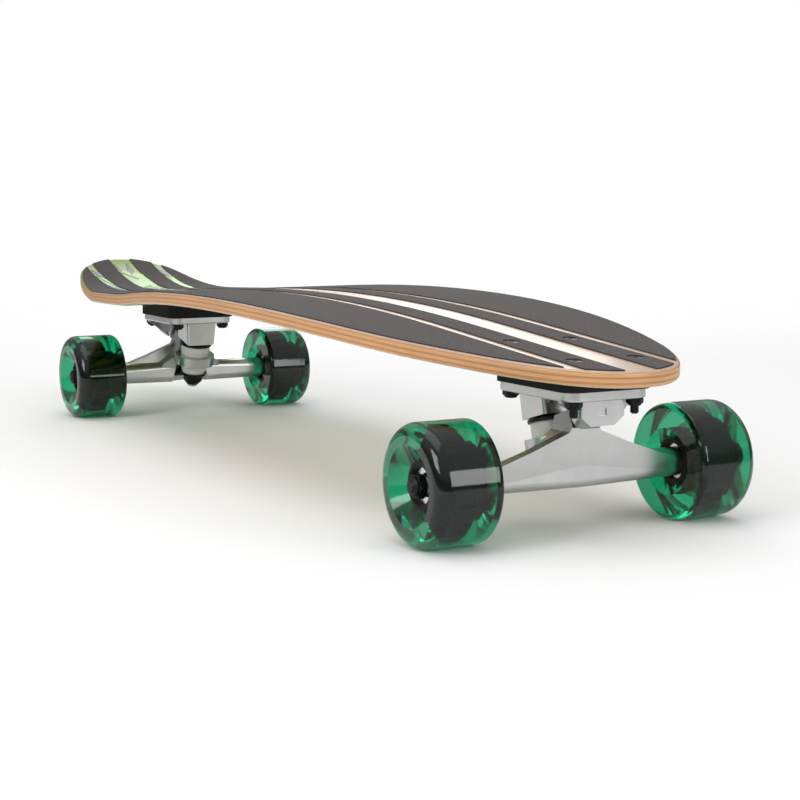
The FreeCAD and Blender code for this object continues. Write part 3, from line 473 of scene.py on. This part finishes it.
def layLeaf(x, y, heading, length, width):
    # a copy of the one leaf, its stem end at (x, y) and its tip towards the heading in degrees,
    # drawn in and shortened where it would pass the deck's rim
    turn = math.radians(heading)
    room = max(edgeNear(x) - rimGap - 1 - width / 2, 0.0)
    y = max(-room, min(room, y))
    while length > shortestLeaf and not all(
            onDeck(x + share * length * math.cos(turn), y + share * length * math.sin(turn), rimGap + margin)
            for share, margin in ((0, 0), (0.5, width / 2), (1, 0))):
        length *= 0.88
    leaf = plainLeaf.copy()
    leaf.data = plainLeaf.data.copy()
    bpy.context.collection.objects.link(leaf)
    leaf.scale = (length * mm, width * mm, 1)
    leaf.rotation_euler = (0, 0, math.radians(heading))
    leaf.location = (x * mm, y * mm, 0)
    return leaf


def leafFan(x, y, heading, count, spread, length, width, luck):
    leaves = []
    for index in range(count):
        turn = heading + spread * (index / (count - 1) - 0.5) + luck.uniform(-6, 6)
        size = length * (1 - 0.35 * abs(index / (count - 1) - 0.5)) * luck.uniform(0.85, 1.1)
        leaves.append((x, y, turn, size, width * luck.uniform(0.85, 1.15)))
    return leaves


def cane(start, end, y0, y1, half, joints):
    # stations of a stalk with a slight swelling at each joint
    marks = sorted([start, end] + [j + d for j in joints for d in (-5, 0, 5)], reverse=True)
    return [(x, y0 + (y1 - y0) * (start - x) / (start - end), half * (1.1 if x in joints else 0.96)) for x in marks]


def layPrint(name, ink, flats, veneer, fromAbove):
    # joins one ink's flat shapes, lays them along the veneer and gives them the film's thickness
    bpy.ops.object.select_all(action="DESELECT")
    for flat in flats:
        flat.select_set(True)
    bpy.context.view_layer.objects.active = flats[0]
    bpy.ops.object.join()
    piece = bpy.context.object
    piece.name = name
    bpy.ops.object.transform_apply(location=True, rotation=True, scale=True)
    gap = (0.05 if fromAbove else -0.05) * mm
    for vertex in piece.data.vertices:
        height = surfaceHeight(veneer, vertex.co.x, vertex.co.y, fromAbove)
        # the deck is level across, rim and holes aside
        level = surfaceHeight(veneer, vertex.co.x, 0.0, fromAbove)
        onFace = height is not None and abs(height - level) < 0.3 * mm
        vertex.co.z = (height if onFace else level) + gap
    film = piece.modifiers.new("inkFilm", "SOLIDIFY")
    film.thickness = inkSettings[ink]["film"] * mm
    film.offset = 1.0 if fromAbove else -1.0
    bpy.ops.object.modifier_apply(modifier="inkFilm")
    bpy.ops.object.mode_set(mode="EDIT")
    bpy.ops.mesh.select_all(action="SELECT")
    bpy.ops.mesh.normals_make_consistent(inside=False)
    bpy.ops.object.mode_set(mode="OBJECT")
    piece.data.materials.clear()
    piece.data.materials.append(inkMaterials[ink])
    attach(piece, "deck")
    return piece


# underside, in mm: x towards the nose, y to the rider's left
undersideSettings = dict(
    stalkJoints=[300, 182, 58, -52, -168, -300], stripeOffset=20.5,
    blackCanes=[(176, -330, 72, 52, 6.3, [92, 8, -84, -190, -270]), (44, -335, -52, -46, 6.0, [-38, -118, -205, -285]),
                (-140, -300, -76, -58, 3.0, [-196, -250])],
    greenSprays=[(128, -10, 205, -44, 214), (14, 10, 84, 43, 150)],
)


def makeUndersidePrint():
    s = undersideSettings
    luck = random.Random(11)
    shapes = {ink: [] for ink in inkSettings}
    low = (deckLow.x + 0.004) / mm
    high = (deckHigh.x - 0.004) / mm
    joints = s["stalkJoints"]
    stalk = cane(high - 0.5, low + 0.5, -1, 0, 10.5, joints)
    shapes["deepGreen"].append(drawRibbon(stalk))
    shapes["caneGreen"].append(drawRibbon([(x, y - 0.6, half - 1.6) for x, y, half in stalk]))
    for first, last in zip([high - 12] + joints, joints + [low + 12]):
        shapes["leafGreen"].append(drawRibbon([
            (first - 7, -6.0, 0.8), ((first + last) / 2, -5.4, 2.4), (last + 7, -6.0, 0.8)]))
        shapes["black"].append(drawRibbon([(first - 9, 3.4, 0.3), (first - 34, 3.0, 0.9), (first - 62, 3.6, 0.3)]))
        shapes["black"].append(drawRibbon([(last + 12, 6.4, 0.3), (last + 30, 6.0, 0.8), (last + 58, 6.2, 0.3)]))
    for x in joints:
        shapes["black"].append(drawRibbon([(x + 1.6, -1.5, 10.8), (x + 0.2, -1.5, 11.2)]))
        shapes["pale"].append(drawRibbon([(x, -1.5, 9.4), (x - 1.2, -1.5, 9.0)]))
    for side in (-1, 1):
        y = side * s["stripeOffset"]
        ends = (high - 8, low + 8)
        shapes["deepGreen"].append(drawRibbon([(x, y, 6.4) for x in ends]))
        shapes["black"].append(drawRibbon([(x, y - side * 0.4, 3.9) for x in ends]))
        shapes["pale"].append(drawRibbon([(x, y - side * 6.6, 0.7) for x in ends]))
    for start, end, y0, y1, half, marks in s["blackCanes"]:
        shapes["black"].append(drawRibbon(cane(start, end, y0, y1, half, marks)))
        slant = (y1 - y0) / (start - end)
        for x in marks:
            y = y0 + slant * (start - x)
            shapes["pale"].append(drawRibbon([(x + 0.7, y, half * 1.15), (x - 0.7, y, half * 1.15)]))
            shapes["deepGreen"].append(drawRibbon([(x - 8, y + half + 1.5, 0.8), (x - 50, y + half + 1.5, 0.4)]))
        for shift, reach in ((-0.6, 14), (-0.15, 24), (0.3, 30), (0.7, 18)):
            shapes["black"].append(layLeaf(start - 4, y0 + shift * half, luck.uniform(-3, 3),
                                           reach * half / 6, half * 0.7))
    for x, y, x1, y1, heading in s["greenSprays"]:
        side = 1 if y1 > y else -1
        shapes["caneGreen"].append(drawRibbon([
            (x, y, 2.6), ((x + x1) / 2, (y + y1) / 2 - side * 2, 2.0), (x1, y1, 1.2)]))
        for leaf in leafFan(x1, y1, side * 100, 7, 175, 62, 14, luck):
            shapes["caneGreen"].append(layLeaf(*leaf))
            shapes["leafGreen"].append(layLeaf(leaf[0], leaf[1], leaf[2] + 2, leaf[3] * 0.86, leaf[4] * 0.45))
    fans = [(158, 50, 100, 7, 215, 46, 6.5), (90, 82, 150, 5, 140, 34, 6), (30, -70, -100, 8, 225, 46, 6.5),
            (2, -60, -165, 5, 130, 36, 6), (-66, -64, -120, 7, 205, 42, 6.5), (-92, 72, 80, 8, 225, 42, 6.5),
            (-168, 64, 120, 6, 185, 36, 6), (-196, -62, -100, 6, 195, 36, 6), (-150, 34, 40, 5, 150, 30, 5),
            (-176, -32, -40, 5, 150, 30, 5)]
    for x, y, heading, count, spread, length, width in fans:
        for leaf in leafFan(x, y, heading, count, spread, length, width, luck):
            shapes["black"].append(layLeaf(*leaf))
    # the nose: broad dark leaves hanging in from both edges
    for x, y, heading, length, width in ((384, -32, 205, 84, 20), (388, -30, 226, 58, 17), (372, -30, 192, 74, 15),
                                         (404, -16, 214, 34, 12), (404, 16, 146, 34, 12), (386, 34, 140, 56, 16),
                                         (352, 58, 190, 54, 14)):
        shapes["deepGreen"].append(layLeaf(x, y, heading, length, width))
        shapes["caneGreen"].append(layLeaf(x, y, heading + 3, length * 0.8, width * 0.34))
    for leaf in leafFan(368, 36, 160, 7, 165, 66, 10, luck):
        shapes["black"].append(layLeaf(*leaf))
    # the tail: overlapping leaves, dark green and black
    for index in range(38):
        side = 1 if index % 2 else -1
        x = luck.uniform(-408, -296)
        y = side * luck.uniform(18, 44) * (1 if x > -360 else 0.7)
        heading = side * luck.uniform(-20, 58)
        ink = ("deepGreen", "deepGreen", "caneGreen", "black")[index % 4]
        shapes[ink].append(layLeaf(x, y, heading, luck.uniform(34, 62) * (0.7 if abs(heading) > 30 else 1),
                                   luck.uniform(8, 13)))
    # blades of grass standing up out of the printed ground
    for index in range(64):
        y = luck.uniform(-86, 86)
        x = luck.uniform(-150, -70) - 0.35 * abs(y)
        if abs(y) > 27:
            shapes["lime"].append(layLeaf(x - 40, y, luck.uniform(-9, 9), luck.uniform(60, 125),
                                          luck.uniform(2.4, 5.0)))
    for ink, flats in shapes.items():
        layPrint("undersidePrint_" + ink, ink, flats, "deck_bottom_veneer", False)


def makeTopPrint():
    luck = random.Random(5)
    shapes = {ink: [] for ink in ("deepGreen", "caneGreen", "leafGreen", "black")}
    for leaf in leafFan(-262, 44, -80, 9, 170, 88, 15, luck):
        shapes["black"].append(layLeaf(*leaf))
    for x, y, heading, length, width in ((-300, 36, 190, 60, 12), (-300, -34, 172, 66, 13)):
        shapes["deepGreen"].append(layLeaf(x, y, heading, length, width))
    for x, y, heading, length, width in ((-404, -16, 32, 96, 17), (-398, 20, -24, 84, 15), (-380, -36, 14, 80, 12),
                                         (-384, 36, -6, 96, 13), (-372, 10, -42, 60, 13)):
        shapes["leafGreen"].append(layLeaf(x, y, heading, length, width))
        shapes["caneGreen"].append(layLeaf(x, y, heading + 9, length * 0.9, width * 0.7))
    for y in (-40, -8, 4, 12, 38):
        shapes["black"].append(layLeaf(-412 + abs(y) * 0.35, y, luck.uniform(-16, 16), 30, 7))
    for ink, flats in shapes.items():
        layPrint("topPrint_" + ink, ink, flats, "deck_top_veneer", True)


makeUndersidePrint()
makeTopPrint()
bpy.data.objects.remove(plainLeaf)
print("grove printed on both faces")

# ---- studio


def makeFloor():
    bpy.ops.mesh.primitive_circle_add(vertices=96, radius=30.0, fill_type="NGON", location=(0, 0, 0))
    floor = bpy.context.object
    floor.name = "studioFloor"
    material = bpy.data.materials.new("paleStudioFloor")
    material.use_nodes = True
    tree = material.node_tree
    tree.nodes.clear()
    pale = addNode(tree, "ShaderNodeBsdfPrincipled", values={
        "Base Color": grey(0.95), "Roughness": 0.9, "Specular IOR Level": 0.0})
    clear = addNode(tree, "ShaderNodeBsdfTransparent")
    place = addNode(tree, "ShaderNodeTexCoord").outputs["Object"]
    reach = addNode(tree, "ShaderNodeVectorMath", {"operation": "LENGTH"}, links={0: place})
    fade = addNode(tree, "ShaderNodeMapRange", {"interpolation_type": "SMOOTHSTEP"}, {
        "From Min": 0.55, "From Max": 1.7}, {"Value": reach.outputs["Value"]})
    side = addNode(tree, "ShaderNodeNewGeometry")
    hidden = addNode(tree, "ShaderNodeMath", {"operation": "MAXIMUM"},
                     links={0: side.outputs["Backfacing"], 1: fade.outputs["Result"]})
    mix = addNode(tree, "ShaderNodeMixShader", links={
        0: hidden.outputs["Value"], 1: pale.outputs["BSDF"], 2: clear.outputs["BSDF"]})
    addNode(tree, "ShaderNodeOutputMaterial", links={"Surface": mix.outputs["Shader"]})
    floor.data.materials.append(material)


lightSettings = {
    "topSoftbox": dict(place=(0.1, -0.3, 1.9), size=1.6, power=9.0),
    "keySoftbox": dict(place=(0.6, -1.7, 1.0), size=0.9, power=14.0),
    "noseSoftbox": dict(place=(1.8, 0.7, 0.5), size=0.7, power=8.0),
    "tailSoftbox": dict(place=(-1.6, 0.9, 0.8), size=1.0, power=7.0),
}


def makeLights():
    for name, s in lightSettings.items():
        bpy.ops.object.light_add(type="AREA", location=s["place"])
        light = bpy.context.object
        light.name = name
        light.data.size = s["size"]
        light.data.energy = s["power"]
        aim = Vector((0, 0, 0.06)) - Vector(s["place"])
        light.rotation_euler = aim.to_track_quat("-Z", "Y").to_euler()
    world = bpy.data.worlds.new("studioWorld")
    world.use_nodes = True
    tree = world.node_tree
    tree.nodes.clear()
    # white paper to the eye; the room that lights and mirrors in the board is dimmer near the horizon
    direction = addNode(tree, "ShaderNodeTexCoord").outputs["Generated"]
    split = addNode(tree, "ShaderNodeSeparateXYZ", links={"Vector": direction})
    room = addNode(tree, "ShaderNodeValToRGB", links={"Fac": addNode(
        tree, "ShaderNodeMapRange", values={"From Min": -1.0, "From Max": 1.0},
        links={"Value": split.outputs["Z"]}).outputs["Result"]})
    setRamp(room, [(0.0, grey(0.6)), (0.42, grey(0.34)), (0.55, grey(0.18)), (0.7, grey(0.55)),
                   (1.0, grey(0.72))])
    roomLight = addNode(tree, "ShaderNodeBackground", links={"Color": room.outputs["Color"]})
    paper = addNode(tree, "ShaderNodeBackground", values={"Color": grey(1.0)})
    ray = addNode(tree, "ShaderNodeLightPath")
    seen = addNode(tree, "ShaderNodeMixShader", links={
        0: ray.outputs["Is Camera Ray"], 1: roomLight.outputs["Background"], 2: paper.outputs["Background"]})
    addNode(tree, "ShaderNodeOutputWorld", links={"Surface": seen.outputs["Shader"]})
    bpy.context.scene.world = world


cameraSettings = dict(azimuth=61.2, elevation=7.3, distance=1.189, lens=73.5, aim=(0.084, 0.037, 0.043))


def makeCamera():
    s = cameraSettings
    azimuth = math.radians(s["azimuth"])
    elevation = math.radians(s["elevation"])
    back = Vector((math.sin(azimuth) * math.cos(elevation), -math.cos(azimuth) * math.cos(elevation),
                   math.sin(elevation)))
    bpy.ops.object.camera_add(location=Vector(s["aim"]) + back * s["distance"])
    camera = bpy.context.object
    camera.rotation_euler = (-back).to_track_quat("-Z", "Y").to_euler()
    camera.data.lens = s["lens"]
    camera.data.sensor_width = 36.0
    camera.data.clip_start = 0.01
    camera.data.clip_end = 100.0
    bpy.context.scene.camera = camera


makeFloor()
makeLights()
makeCamera()
bpy.context.scene.view_settings.view_transform = "Standard"
print("studio ready")
